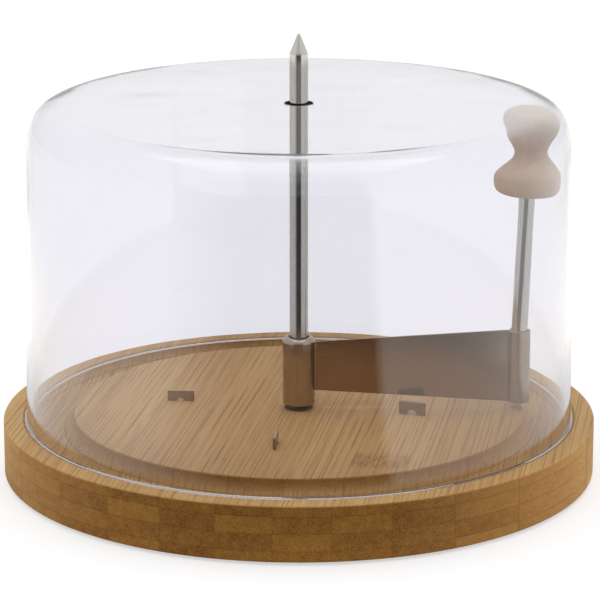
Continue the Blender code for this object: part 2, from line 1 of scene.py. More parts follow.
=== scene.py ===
"""Looks of a cheese curler: a bamboo board, a steel pin and scraper, a wooden knob and a clear dome.

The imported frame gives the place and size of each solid. This script lays finer meshes over the solids
that show, gives every surface its finish, and sets up a plain studio and the camera. Metres, +Z up,
the pin's axis is the Z axis, and the scraper points along +X.
"""
from __future__ import annotations

import json
import logging
import math
from dataclasses import dataclass
from enum import Enum
from functools import cache
from typing import Any, Mapping, Sequence

import bmesh
import bpy
from mathutils import Matrix, Vector


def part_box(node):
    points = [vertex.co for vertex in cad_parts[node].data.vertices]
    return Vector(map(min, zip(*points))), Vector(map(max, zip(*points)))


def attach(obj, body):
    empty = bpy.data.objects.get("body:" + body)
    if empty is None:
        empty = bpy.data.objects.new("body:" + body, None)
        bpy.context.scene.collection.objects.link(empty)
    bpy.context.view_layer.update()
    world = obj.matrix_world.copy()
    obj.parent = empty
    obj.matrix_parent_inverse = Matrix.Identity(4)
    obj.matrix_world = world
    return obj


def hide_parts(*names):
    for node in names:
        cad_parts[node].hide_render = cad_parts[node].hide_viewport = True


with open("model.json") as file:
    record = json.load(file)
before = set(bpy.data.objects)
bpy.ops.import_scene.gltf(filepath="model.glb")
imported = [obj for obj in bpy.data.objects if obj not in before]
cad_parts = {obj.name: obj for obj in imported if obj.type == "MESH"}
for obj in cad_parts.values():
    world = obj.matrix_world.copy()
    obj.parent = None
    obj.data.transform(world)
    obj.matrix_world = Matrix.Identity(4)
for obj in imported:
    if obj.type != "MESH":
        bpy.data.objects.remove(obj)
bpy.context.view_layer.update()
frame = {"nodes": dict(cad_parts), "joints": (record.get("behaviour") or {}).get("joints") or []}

log = logging.getLogger("cheese_curler")
logging.basicConfig(level=logging.INFO, format="%(name)s: %(message)s")

Triple = tuple[float, float, float]
Color = Triple
Point = tuple[float, float]
Socket = bpy.types.NodeSocket
Material = bpy.types.Material
Mesh = bmesh.types.BMesh

# The middle of a noise, and nearly all of it.
MOST_NOISE: Point = (0.35, 0.65)
ALL_NOISE: Point = (0.3, 0.7)
# Steps round a small turned piece.
TURN_STEPS = 96


class Body(Enum):
    """The moving bodies of the frame."""

    BASE = "base"
    BUSH = "bush"
    SCRAPER = "scraper"
    KNOB = "knob"
    DOME = "dome"


class Slot(Enum):
    """The material slots of the record."""

    BAMBOO = "bamboo"
    BEECH = "beech"
    STEEL = "steel"
    ZINC = "zinc"
    NYLON = "nylon"
    RUBBER = "rubber"
    ACRYLIC = "acrylic"


class Tree:
    """A node tree that is put together step by step."""

    def __init__(self, owner: Material | bpy.types.World) -> None:
        """Start an empty node tree.

        Args:
            owner: The material or world whose tree is filled.
        """
        owner.use_nodes = True
        self.nodes, self.links = owner.node_tree.nodes, owner.node_tree.links
        self.nodes.clear()

    def add(self, kind: str, inputs: Mapping[Any, Any] | None = None, **settings: Any) -> bpy.types.Node:
        """Add a node.

        Args:
            kind: The node's type name without its ShaderNode prefix.
            inputs: Values or output sockets by input name or number.
            settings: The node's own properties by name.

        Returns:
            The new node.
        """
        node = self.nodes.new("ShaderNode" + kind)
        for name, value in settings.items():
            setattr(node, name, value)
        for name, value in (inputs or {}).items():
            if isinstance(value, Socket):
                self.links.new(value, node.inputs[name])
            else:
                node.inputs[name].default_value = value
        return node

    def math(self, operation: str, first: Any, second: Any = 0.0, clamp: bool = False) -> Socket:
        """Return the result of a Math node, which clamp keeps between 0 and 1."""
        return self.add("Math", {0: first, 1: second}, operation=operation, use_clamp=clamp).outputs[0]

    def times(self, first: Any, second: Any) -> Socket:
        """Return the product of two values."""
        return self.math("MULTIPLY", first, second)

    def plus(self, first: Any, second: Any) -> Socket:
        """Return the sum of two values."""
        return self.math("ADD", first, second)

    def gap(self, first: Any, second: Any) -> Socket:
        """Return how far apart two values are."""
        return self.math("ABSOLUTE", self.math("SUBTRACT", first, second))

    def parts(self, vector: Any) -> Sequence[Socket]:
        """Return the three parts of a vector."""
        return self.add("SeparateXYZ", {0: vector}).outputs

    def mix(self, share: Any, first: Any, second: Any, blend: str = "MIX") -> Socket:
        """Return a mix of two colours, where a share of 1 gives the second or the full blend."""
        inputs = {0: share, 6: opaque(first), 7: opaque(second)}
        return self.add("Mix", inputs, data_type="RGBA", blend_type=blend).outputs[2]

    def choose(self, share: Any, first: Any, second: Any) -> Socket:
        """Return a value between two values, where a share of 1 gives the second."""
        return self.add("Mix", {0: share, 2: first, 3: second}, data_type="FLOAT").outputs[0]

    def spread(
        self, value: Any, low: float, high: float, to_low: float = 0.0, to_high: float = 1.0,
    ) -> Socket:
        """Return a value spread from low and high to to_low and to_high, and kept between those."""
        inputs = {"Value": value, "From Min": low, "From Max": high, "To Min": to_low, "To Max": to_high}
        return self.add("MapRange", inputs, clamp=True).outputs[0]

    def fade(self, value: Any, low: float, high: float) -> Socket:
        """Return 1 for a value below low, 0 over high, and an even slope between them."""
        return self.spread(value, low, high, 1.0, 0.0)

    def place(
        self, turn: float = 0.0, scale: Triple = (1.0, 1.0, 1.0), shift: Triple = (0.0, 0.0, 0.0),
    ) -> Socket:
        """Return the piece's own coordinates, turned about Z, scaled and shifted.

        Args:
            turn: The turn about Z in radians.
            scale: The factors along the turned axes.
            shift: What is added along them afterwards.

        Returns:
            The coordinates' socket.
        """
        own = self.add("TexCoord").outputs["Object"]
        turned = self.add("Mapping", {"Vector": own, "Rotation": (0.0, 0.0, turn)}).outputs[0]
        return self.add("Mapping", {"Vector": turned, "Scale": scale, "Location": shift}).outputs[0]

    def noise(
        self, coordinates: Any, scale: float = 1.0, detail: float = 2.0, roughness: float = 0.5,
    ) -> Socket:
        """Return a noise value, which mostly lies between 0.3 and 0.7."""
        inputs = {"Vector": coordinates, "Scale": scale, "Detail": detail, "Roughness": roughness}
        return self.add("TexNoise", inputs).outputs[0]

    def bump(self, height: Any, depth: float, strength: float = 1.0) -> Socket:
        """Return a normal that follows a height, where a height of 1 is as deep as depth in metres."""
        return self.add("Bump", {"Height": height, "Distance": depth, "Strength": strength}).outputs[0]

    def principled(self, inputs: Mapping[str, Any]) -> Socket:
        """Return a Principled shader with values or sockets by input name."""
        return self.add("BsdfPrincipled", inputs).outputs[0]

    def show(self, shader: Socket) -> None:
        """Show a shader on the surface."""
        self.add("OutputMaterial", {"Surface": shader})


def opaque(color: Any) -> Any:
    """Return a colour with its alpha of 1, or a socket as it is."""
    return color if isinstance(color, Socket) else (*color, 1.0)


@dataclass(frozen=True)
class Finish:
    """What all finishes share: a name and the record's slot."""

    name: str
    slot: Slot

    @cache
    def make(self) -> Material:
        """Return the finish's material, which is made once.

        Returns:
            The material.
        """
        material = bpy.data.materials.new(self.name)
        self.mix_into(Tree(material))
        return material

    def mix_into(self, tree: Tree) -> None:
        """Fill the material's node tree.

        Args:
            tree: The tree to fill.
        """
        raise NotImplementedError


@dataclass(frozen=True)
class BambooFinish(Finish):
    """Strip bamboo ply: strips glued side by side in layers, with fibres that run along one direction.

    The pattern is solid, so that the same fibres show as lines on the top and as dots on the ends.
    """

    grain_turn: float = math.radians(9.3)
    strip_width: float = 0.0199
    strip_shift: float = 0.0113
    layer_heights: tuple[float, ...] = (0.0052, 0.0114, 0.0175)
    light: Color = (0.660, 0.440, 0.180)
    dark: Color = (0.480, 0.268, 0.098)
    line: Color = (0.290, 0.120, 0.045)
    side_tint: Color = (1.000, 0.880, 0.660)
    end_light: Color = (0.395, 0.188, 0.036)
    end_dark: Color = (0.140, 0.048, 0.008)
    tone_seed: float = 3.0
    own_tone: float = 0.72
    turn_tone: float = 0.28
    flat_tone: float = 0.62
    end_tone: float = 0.45
    band_shade: float = 0.20
    fibre_shade: float = 0.40
    bundle_shade: float = 0.55
    seam_reach: Point = (0.00005, 0.00025)
    seam_strength: float = 0.40
    strip_edge: Point = (0.488, 0.498)
    strip_seam: float = 0.8
    bundle_size: Point = (0.00058, 0.110)
    bundle_reach: Point = (0.10, 0.60)
    line_size: Point = (0.0015, 0.030)
    line_reach: Point = (0.06, 0.19)
    line_breaks: Point = (0.36, 0.60)
    line_strength: Point = (0.95, 0.50)
    drift_size: Point = (0.020, 0.080)
    fibre_size: Point = (0.00060, 0.150)
    band_size: Point = (0.0030, 0.400)
    knot_place: Point = (0.0285, -0.0640)
    knot_size: Point = (0.0100, 0.0088)
    knot_edge_size: Point = (0.0015, 0.020)
    knot_stroke_size: Point = (0.0008, 0.0060)
    knot_ends: Point = (0.85, 1.35)
    knot_sides: Point = (0.97, 1.01)
    knot_strokes: Point = (0.42, 0.60)
    knot_strength: float = 0.62
    end_reach: Point = (0.20, 0.90)
    end_slope: Point = (0.20, 0.70)
    slope_end_share: float = 0.38
    flat_slope: Point = (0.30, 0.80)
    roughness: Point = (0.46, 0.60)
    bundle_depth: float = -0.00003

    def along(self, tree: Tree, size: Point) -> Socket:
        """Return coordinates for a pattern of a size across and along the grain."""
        return tree.place(self.grain_turn, (1 / size[0], 1 / size[1], 1 / size[0]))

    def streaks(self, tree: Tree, size: Point, detail: float, roughness: float = 0.5) -> Socket:
        """Return noise of a size across and along the grain."""
        return tree.noise(self.along(tree, size), detail=detail, roughness=roughness)

    def cells(self, tree: Tree) -> tuple[Socket, Socket]:
        """Return the tone of each strip in each layer, and the seams between them.

        Light and dark strips alternate, and each one also has a tone of its own.

        Args:
            tree: The tree to fill.

        Returns:
            The tone's and the seams' sockets.
        """
        across, _, height = tree.parts(tree.place(self.grain_turn))
        strips = tree.math("DIVIDE", tree.plus(across, self.strip_shift), self.strip_width)
        layer: Any = 0.0
        seam: Any = 0.0
        for level in self.layer_heights:
            layer = tree.plus(layer, tree.math("GREATER_THAN", height, level))
            near = tree.fade(tree.gap(height, level), *self.seam_reach)
            seam = tree.math("MAXIMUM", seam, near)
        side = tree.gap(tree.math("FRACT", strips), 0.5)
        seam = tree.math("MAXIMUM", seam, tree.spread(side, *self.strip_edge, 0.0, self.strip_seam))
        strip = tree.math("FLOOR", strips)
        cell = tree.add("CombineXYZ", {0: strip, 1: layer, 2: self.tone_seed}).outputs[0]
        own = tree.add("TexWhiteNoise", {"Vector": cell}, noise_dimensions="3D").outputs["Value"]
        turns = tree.math("PINGPONG", tree.plus(strip, layer), 1.0)
        return tree.plus(tree.times(own, self.own_tone), tree.times(turns, self.turn_tone)), seam

    def bundles(self, tree: Tree) -> Socket:
        """Return the dark fibre bundles, 1 in their middles."""
        inputs = {"Vector": self.along(tree, self.bundle_size), "Scale": 1.0, "Randomness": 0.9}
        return tree.fade(tree.add("TexVoronoi", inputs).outputs["Distance"], *self.bundle_reach)

    def lines(self, tree: Tree) -> Socket:
        """Return the thin, broken lines of the cut fibres, 1 in their middles.

        Args:
            tree: The tree to fill.

        Returns:
            The lines' socket.
        """
        place = self.along(tree, self.line_size)
        across = tree.plus(tree.parts(place)[0], self.streaks(tree, self.drift_size, 1.0))
        inputs = {"W": across, "Scale": 1.0, "Randomness": 1.0}
        cells = tree.add("TexVoronoi", inputs, voronoi_dimensions="1D")
        thin = tree.fade(cells.outputs["Distance"], *self.line_reach)
        return tree.times(thin, tree.spread(tree.noise(place, detail=1.0), *self.line_breaks))

    def knot(self, tree: Tree) -> Socket:
        """Return the mottled patch where a joint of the cane crosses one strip.

        Args:
            tree: The tree to fill.

        Returns:
            The patch's strength.
        """
        turned = Matrix.Rotation(self.grain_turn, 2) @ Vector(self.knot_place)
        wide, long = self.knot_size
        shift = (-turned.x / wide, -turned.y / long, 0.0)
        near = tree.place(self.grain_turn, (1 / wide, 1 / long, 0.0), shift)
        off = tree.add("VectorMath", {0: near}, operation="ABSOLUTE").outputs["Vector"]
        across, along, _ = tree.parts(off)
        ragged = tree.times(self.streaks(tree, self.knot_edge_size, 1.0), 0.6)
        shown = tree.fade(tree.plus(along, ragged), *self.knot_ends)
        shown = tree.times(shown, tree.fade(across, *self.knot_sides))
        strokes = self.streaks(tree, self.knot_stroke_size, 2.0)
        return tree.times(shown, tree.spread(strokes, *self.knot_strokes, 0.20, 1.0))

    def end_on(self, tree: Tree, normal: Socket, slope: Socket) -> Socket:
        """Return how far a face is turned to the ends of the fibres.

        Args:
            tree: The tree to fill.
            normal: The face's normal.
            slope: The normal's upright part.

        Returns:
            The share's socket, from 0 to 1.
        """
        along = (math.sin(self.grain_turn), math.cos(self.grain_turn), 0.0)
        facing = tree.add("VectorMath", {0: normal, 1: along}, operation="DOT_PRODUCT")
        cut = tree.spread(tree.math("ABSOLUTE", facing.outputs["Value"]), *self.end_reach)
        return tree.times(cut, tree.spread(slope, *self.end_slope, 1.0, self.slope_end_share))

    def mix_into(self, tree: Tree) -> None:
        """Fill the node tree with strips, fibres, dots and the knot.

        Args:
            tree: The tree to fill.
        """
        tone, seam = self.cells(tree)
        bundles = self.bundles(tree)
        normal = tree.add("NewGeometry").outputs["Normal"]
        slope = tree.parts(normal)[2]
        fibres = self.streaks(tree, self.fibre_size, 3.0, 0.6)
        bands = tree.spread(self.streaks(tree, self.band_size, 2.0), *MOST_NOISE)
        soft = tree.times(bands, self.band_shade)
        shade = tree.plus(soft, tree.spread(fibres, 0.32, 0.68, 0.0, self.fibre_shade))
        shade = tree.plus(shade, tree.times(tone, self.flat_tone))
        flat = tree.mix(shade, self.light, self.dark)
        lines = tree.times(self.lines(tree), tree.spread(tone, 0.0, 1.0, *self.line_strength))
        lines = tree.times(lines, tree.spread(slope, *self.flat_slope))
        flat = tree.mix(lines, flat, self.line)
        flat = tree.mix(tree.fade(slope, *self.flat_slope), flat, self.side_tint, "MULTIPLY")
        shade = tree.plus(soft, tree.times(tone, self.end_tone))
        shade = tree.plus(shade, tree.times(bundles, self.bundle_shade))
        ends = tree.mix(shade, self.end_light, self.end_dark)
        color = tree.mix(self.end_on(tree, normal, slope), flat, ends)
        color = tree.mix(tree.times(self.knot(tree), self.knot_strength), color, self.line)
        color = tree.mix(tree.times(seam, self.seam_strength), color, self.end_dark)
        tree.show(tree.principled({
            "Base Color": color, "Roughness": tree.spread(fibres, *ALL_NOISE, *self.roughness),
            "Normal": tree.bump(bundles, self.bundle_depth, 0.6), "Specular IOR Level": 0.15,
        }))


@dataclass(frozen=True)
class BeechFinish(Finish):
    """Fine, pale turned wood with faint growth lines and short flecks."""

    light: Color = (0.720, 0.525, 0.360)
    dark: Color = (0.670, 0.465, 0.305)
    turn: float = 0.6
    growth_scale: Triple = (700.0, 190.0, 45.0)
    fleck_scale: Triple = (2600.0, 900.0, 260.0)
    fleck_depth: float = 0.00003
    roughness: Point = (0.48, 0.62)

    def mix_into(self, tree: Tree) -> None:
        """Fill the node tree with growth lines and flecks.

        Args:
            tree: The tree to fill.
        """
        lines = tree.noise(tree.place(self.turn, self.growth_scale), detail=3.0)
        flecks = tree.noise(tree.place(self.turn, self.fleck_scale), detail=1.0)
        shade = tree.times(tree.spread(lines, *MOST_NOISE), 0.6)
        shade = tree.plus(shade, tree.spread(flecks, 0.58, 0.72, 0.0, 0.35))
        color = tree.mix(shade, self.light, self.dark)
        tree.show(tree.principled({
            "Base Color": color, "Roughness": tree.spread(lines, *ALL_NOISE, *self.roughness),
            "Normal": tree.bump(flecks, self.fleck_depth, 0.5), "Specular IOR Level": 0.35,
        }))


@dataclass(frozen=True)
class SteelFinish(Finish):
    """Polished or brushed steel with faint marks of use."""

    color: Color = (0.590, 0.572, 0.530)
    smooth: float = 0.07
    rough: float = 0.15
    brushing: Triple = (300.0, 300.0, 20.0)
    patches: Triple = (70.0, 70.0, 70.0)
    brush_depth: float = 0.00001
    shade: float = 0.7

    def mix_into(self, tree: Tree) -> None:
        """Fill the node tree with brushing and light scratches.

        Args:
            tree: The tree to fill.
        """
        brushed = tree.noise(tree.place(scale=self.brushing), detail=4.0, roughness=0.65)
        patches = tree.noise(tree.place(scale=self.patches), detail=2.0)
        wear = tree.times(tree.plus(brushed, patches), 0.5)
        darker = tuple(part * self.shade for part in self.color)
        tint = tree.mix(tree.spread(brushed, *MOST_NOISE, 0.0, 0.30), self.color, darker)
        tree.show(tree.principled({
            "Base Color": tint, "Metallic": 1.0,
            "Roughness": tree.spread(wear, *MOST_NOISE, self.smooth, self.rough),
            "Normal": tree.bump(brushed, self.brush_depth, 0.5),
        }))


@dataclass(frozen=True)
class MouldedFinish(Finish):
    """Moulded nylon or rubber with a fine, even grain."""

    color: Color = (0.5, 0.5, 0.5)
    roughness: float = 0.5
    grain_scale: float = 2500.0
    cloud_scale: float = 120.0
    grain_depth: float = 0.00002
    shade: float = 0.8

    def mix_into(self, tree: Tree) -> None:
        """Fill the node tree with a fine grain.

        Args:
            tree: The tree to fill.
        """
        grain = tree.noise(tree.place(), self.grain_scale, 2.0)
        clouds = tree.noise(tree.place(), self.cloud_scale, 1.0)
        darker = tuple(part * self.shade for part in self.color)
        low, high = self.roughness - 0.05, self.roughness + 0.05
        tree.show(tree.principled({
            "Base Color": tree.mix(tree.spread(clouds, *ALL_NOISE), self.color, darker),
            "Roughness": tree.spread(grain, *ALL_NOISE, low, high),
            "Normal": tree.bump(grain, self.grain_depth, 0.5),
        }))


@dataclass(frozen=True)
class AcrylicFinish(Finish):
    """Clear acrylic with a faint violet tint, which lets the lamps through."""

    tint: Color = (0.900, 0.897, 0.935)
    shadow_tint: Color = (0.965, 0.962, 0.985)
    ior: float = 1.49
    wave_scale: float = 28.0
    wave_depth: float = 0.0006

    def mix_into(self, tree: Tree) -> None:
        """Fill the node tree with glass that casts a clear shadow.

        Args:
            tree: The tree to fill.
        """
        waves = tree.noise(tree.place(), self.wave_scale, 1.0)
        glass = tree.principled({
            "Base Color": opaque(self.tint), "Roughness": 0.0, "IOR": self.ior,
            "Transmission Weight": 1.0, "Normal": tree.bump(waves, self.wave_depth, 0.25),
        })
        clear = tree.add("BsdfTransparent", {"Color": opaque(self.shadow_tint)}).outputs[0]
        shadow_ray = tree.add("LightPath").outputs["Is Shadow Ray"]
        tree.show(tree.add("MixShader", {0: shadow_ray, 1: glass, 2: clear}).outputs[0])


def spun(outline: Sequence[Point], steps: int, closed: bool) -> Mesh:
    """Turn an outline once round the Z axis.

    Args:
        outline: (radius, height) points.
        steps: The number of steps round the turn.
        closed: Whether the outline's last point joins its first.

    Returns:
        The turned mesh, with its faces pointing out.
    """
    mesh = bmesh.new()
    points = [mesh.verts.new((radius, 0.0, height)) for radius, height in outline]
    for first, second in zip(points, points[1:]):
        mesh.edges.new((first, second))
    if closed:
        mesh.edges.new((points[-1], points[0]))
    bmesh.ops.spin(
        mesh, geom=mesh.verts[:] + mesh.edges[:], cent=(0, 0, 0), axis=(0, 0, 1),
        angle=2 * math.pi, steps=steps, use_merge=True, use_duplicate=False,
    )
    bmesh.ops.remove_doubles(mesh, verts=mesh.verts, dist=1e-7)
    bmesh.ops.recalc_face_normals(mesh, faces=mesh.faces)
    return mesh


def arc(center: Point, radius: float, start: float, end: float, steps: int) -> list[Point]:
    """Return points on an arc, both ends included.

    Args:
        center: The arc's centre as (radius, height).
        radius: The arc's own radius.
        start: The angle at its start, in degrees.
        end: The angle at its end, in degrees.
        steps: The number of steps along it.

    Returns:
        The points from start to end.
    """
    points = []
    for step in range(steps + 1):
        angle = math.radians(start + (end - start) * step / steps)
        points.append((center[0] + radius * math.cos(angle), center[1] + radius * math.sin(angle)))
    return points


def dressed(
    name: str, mesh: Mesh, finish: Finish, body: Body, stands_for: Sequence[str] = (),
    sharp: float = 35.0,
) -> bpy.types.Object:
    """Make a piece from a mesh, dress it and let it ride on its body.

    Large faces keep their own shading beside small roundings.

    Args:
        name: The piece's name.
        mesh: The mesh, which is freed.
        finish: The piece's finish.
        body: The body that the piece rides on.
        stands_for: The frame's nodes that the piece replaces.
        sharp: The angle in degrees past which an edge stays sharp.

    Returns:
        The new piece.
    """
    data = bpy.data.meshes.new(name)
    mesh.to_mesh(data)
    mesh.free()
    data.shade_smooth()
    data.set_sharp_from_angle(angle=math.radians(sharp))
    data.materials.append(finish.make())
    piece = bpy.data.objects.new(name, data)
    bpy.context.scene.collection.objects.link(piece)
    even = piece.modifiers.new("even_shading", "WEIGHTED_NORMAL")
    even.mode = "FACE_AREA"
    even.weight = 100
    even.keep_sharp = True
    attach(piece, body.value)
    if stands_for:
        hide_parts(*stands_for)
    log.info("%s: %d faces on %s", name, len(data.polygons), body.value)
    return piece


def redress(node: str, finish: Finish) -> None:
    """Give a node of the frame a finish and keep its mesh.

    Args:
        node: The node's name.
        finish: The finish.
    """
    for slot in frame["nodes"][node].material_slots:
        slot.material = finish.make()
    log.info("%s: kept with %s", node, finish.name)


def round_edges(piece: bpy.types.Object, width: float) -> None:
    """Round a piece's sharp edges, before its shading is evened.

    Args:
        piece: The piece.
        width: The rounding's width.
    """
    modifier = piece.modifiers.new("rounding", "BEVEL")
    modifier.width = width
    modifier.segments = 2
    modifier.limit_method = "ANGLE"
    modifier.angle_limit = math.radians(50.0)
    piece.modifiers.move(len(piece.modifiers) - 1, 0)


@dataclass
class Board:
    """The bamboo board with its raised middle, the cove that takes the dome, and the rubber feet."""

    finish: BambooFinish
    foot_finish: MouldedFinish
    rim_width: float = 0.0072
    cove_width: float = 0.0184
    cove_depth: float = 0.0060
    middle_rise: float = 0.0014
    top_rounding: float = 0.0008
    bottom_rounding: float = 0.0012
    cove_edge_rounding: float = 0.0003
    pin_hole_radius: float = 0.0028
    counterbore_radius: float = 0.0090
    counterbore_depth: float = 0.0080
    foot_rounding: float = 0.0004
    steps: int = 288
    cove_steps: int = 48
    foot_steps: int = 48

    def __post_init__(self) -> None:
        """Read the board's size from the frame."""
        low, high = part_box("base_board")
        self.radius = high.x
        self.bottom = low.z
        self.middle_top = high.z
        self.rim_top = high.z - self.middle_rise

    def cove(self) -> list[Point]:
        """Return the cove's outline with softened edges.

        Returns:
            The points from the outer edge to the higher inner edge.
        """
        middle = self.radius - self.rim_width - self.cove_width / 2
        arc_radius = ((self.cove_width / 2) ** 2 + self.cove_depth ** 2) / (2 * self.cove_depth)
        center = (middle, self.rim_top - self.cove_depth + arc_radius)
        outer_angle = math.acos((center[1] - self.rim_top) / arc_radius)
        inner_angle = math.acos((center[1] - self.middle_top) / arc_radius)
        outer = middle + arc_radius * math.sin(outer_angle)
        inner = middle - arc_radius * math.sin(inner_angle)
        soft = self.cove_edge_rounding
        start = math.degrees(outer_angle - soft / arc_radius) - 90
        end = -math.degrees(inner_angle - soft / arc_radius) - 90
        return [
            (outer + 2 * soft, self.rim_top), (outer + 0.7 * soft, self.rim_top - 0.15 * soft),
            *arc(center, arc_radius, start, end, self.cove_steps),
            (inner - 0.7 * soft, self.middle_top - 0.15 * soft), (inner - 2 * soft, self.middle_top),
        ]

    def build(self) -> None:
        """Model and dress the board and its feet."""
        low_center = (self.radius - self.bottom_rounding, self.bottom + self.bottom_rounding)
        high_center = (self.radius - self.top_rounding, self.rim_top - self.top_rounding)
        ceiling = self.bottom + self.counterbore_depth
        outline = [
            (self.counterbore_radius, self.bottom), *arc(low_center, self.bottom_rounding, -90, 0, 8),
            *arc(high_center, self.top_rounding, 0, 90, 10), *self.cove(),
            (self.pin_hole_radius, self.middle_top), (self.pin_hole_radius, ceiling),
            (self.counterbore_radius, ceiling),
        ]
        mesh = spun(outline, self.steps, True)
        dressed("bamboo_board", mesh, self.finish, Body.BASE, ["base_board"])
        for number in range(1, 5):
            self.build_foot(number)

    def build_foot(self, number: int) -> None:
        """Model one foot as a low disc with a rounded edge.

        Args:
            number: The foot's number in the frame.
        """
        low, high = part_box(f"foot_{number}")
        radius, soft = (high.x - low.x) / 2, self.foot_rounding
        edge = arc((radius - soft, low.z + soft), soft, -90, 0, 6)
        mesh = spun([(0.0, low.z), *edge, (radius, high.z), (0.0, high.z)], self.foot_steps, False)
        center = ((low.x + high.x) / 2, (low.y + high.y) / 2, 0.0)
        bmesh.ops.translate(mesh, verts=mesh.verts, vec=center)
        dressed(f"rubber_foot_{number}", mesh, self.foot_finish, Body.BASE, [f"foot_{number}"])


@dataclass
class Pin:
    """The pointed pin, and the washer and nut that hold it from below."""

    finish: SteelFinish
    fixing_finish: SteelFinish
    cone_height: float = 0.0071
    tip_radius: float = 0.0006
    thread_radius: float = 0.0025
    shoulder_over_board: float = 0.0003
    cone_edge_rounding: float = 0.0004
    cone_edge_share: float = 0.985
    cone_edge_run: Point = (1.6, 1.3)
    edge: float = 0.0003

    def __post_init__(self) -> None:
        """Read the pin's size from the frame."""
        low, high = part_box("center_pin")
        self.radius = high.x
        self.end = low.z
        self.tip = high.z
        self.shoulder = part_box("base_board")[1].z + self.shoulder_over_board

    def build(self) -> None:
        """Model and dress the pin, its washer and its nut."""
        base = self.tip - self.cone_height
        slope = math.degrees(math.atan2(self.cone_height, self.radius))
        thread, radius, edge, soft = self.thread_radius, self.radius, self.edge, self.cone_edge_rounding
        run, rise = self.cone_edge_run
        outline = [
            (0.0, self.end), (thread - edge, self.end), (thread, self.end + edge),
            (thread, self.shoulder), (radius, self.shoulder), (radius, base - soft),
            (radius * self.cone_edge_share, base),
            (radius * (1 - soft / self.cone_height * run), base + soft * rise),
        ]
        tip = arc((0.0, self.tip - self.tip_radius), self.tip_radius, 90 - slope, 90, 8)
        outline += tip[:-1] + [(0.0, self.tip)]
        mesh = spun(outline, TURN_STEPS, False)
        dressed("steel_pin", mesh, self.finish, Body.BASE, ["center_pin"], sharp=40.0)
        for node in ("pin_washer", "pin_nut", "knob_washer", "knob_screw"):
            redress(node, self.fixing_finish)


@dataclass
class Lugs:
    """The four small plates that stand in the board and stop the cheese from turning."""

    finish: SteelFinish
    distances: tuple[float, ...] = (0.0427, 0.0455, 0.0450, 0.0468)
    angles: tuple[float, ...] = (-11.9, 79.0, 168.6, 259.9)
    twists: tuple[float, ...] = (-7.1, 0.0, 6.8, 4.1)
    length: float = 0.0100
    thickness: float = 0.0010
    arch_width: float = 0.0038
    arch_below_top: float = 0.0030
    prong_depth: float = 0.0050
    rounding: float = 0.00012

    def build(self) -> None:
        """Model and dress each lug as a stamped plate with an arch between two prongs."""
        board_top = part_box("base_board")[1].z
        rows = zip(self.angles, self.distances, self.twists)
        for number, (angle, distance, twist) in enumerate(rows, start=1):
            mesh = self.plate(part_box(f"cheese_lug_{number}")[1].z - board_top)
            place = Matrix.Rotation(math.radians(angle), 4, "Z")
            place = place @ Matrix.Translation((distance, 0.0, board_top))
            place = place @ Matrix.Rotation(math.radians(twist), 4, "Z")
            bmesh.ops.transform(mesh, matrix=place, verts=mesh.verts)
            node = f"cheese_lug_{number}"
            piece = dressed(f"steel_lug_{number}", mesh, self.finish, Body.BASE, [node])
            round_edges(piece, self.rounding)

    def plate(self, height: float) -> Mesh:
        """Return one lug standing at the origin.

        Args:
            height: The lug's height over the board.

        Returns:
            The plate's mesh.
        """
        half, arch, foot = self.length / 2, self.arch_width / 2, -self.prong_depth
        round_top = arc((0.0, height - self.arch_below_top - arch), arch, 180, 0, 10)
        outline = [(half, height), (-half, height), (-half, foot), (-arch, foot)]
        outline += [(x, z) for x, z in round_top if z > -arch] + [(arch, foot), (half, foot)]
        mesh = bmesh.new()
        corners = [mesh.verts.new((x, -self.thickness / 2, z)) for x, z in outline]
        face = mesh.faces.new(corners)
        grown = bmesh.ops.extrude_face_region(mesh, geom=[face])["geom"]
        moved = [item for item in grown if isinstance(item, bmesh.types.BMVert)]
        bmesh.ops.translate(mesh, verts=moved, vec=(0.0, self.thickness, 0.0))
        bmesh.ops.recalc_face_normals(mesh, faces=mesh.faces)
        return mesh


@dataclass
class Hub:
    """The flanged bush on the pin and the steel sleeve that turns round it."""

    finish: SteelFinish
    bush_finish: MouldedFinish
    bush_bore_radius: float = 0.0037
    bush_radius: float = 0.0047
    flange_thickness: float = 0.0011
    sleeve_bore_radius: float = 0.0050
    sleeve_edge: float = 0.0006
    sleeve_top_rounding: float = 0.0019
    sleeve_crown: float = 0.0010
    sleeve_hole_radius: float = 0.0039
    bush_rounding: float = 0.0002

    def build(self) -> None:
        """Model and dress the bush and the sleeve."""
        low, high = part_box("hub_bush")
        flange, top = high.x, low.z + self.flange_thickness
        bore, outside, soft = self.bush_bore_radius, self.bush_radius, self.bush_rounding
        outline = [
            (bore, low.z), (flange - soft, low.z), (flange, low.z + soft), (flange, top - soft),
            (flange - soft, top), (outside, top), (outside, high.z - soft), (outside - soft, high.z),
            (bore + soft, high.z), (bore, high.z - soft),
        ]
        mesh = spun(outline, TURN_STEPS, True)
        dressed("nylon_bush", mesh, self.bush_finish, Body.BUSH, ["hub_bush"])
        low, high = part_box("hub_sleeve")
        radius = high.x
        edge = self.sleeve_edge
        ceiling = high.z - self.sleeve_crown
        outline = [(self.sleeve_hole_radius, ceiling), (self.sleeve_bore_radius, ceiling)]
        outline += [(self.sleeve_bore_radius, low.z)]
        outline += arc((radius - edge, low.z + edge), edge, -90, 0, 5)
        for x, y in arc((0.0, 0.0), 1.0, 0, 90, 12):
            across = self.sleeve_hole_radius + (radius - self.sleeve_hole_radius) * x
            outline.append((across, high.z - self.sleeve_top_rounding * (1.0 - y)))
        mesh = spun(outline, TURN_STEPS, True)
        dressed("steel_sleeve", mesh, self.finish, Body.SCRAPER, ["hub_sleeve"])


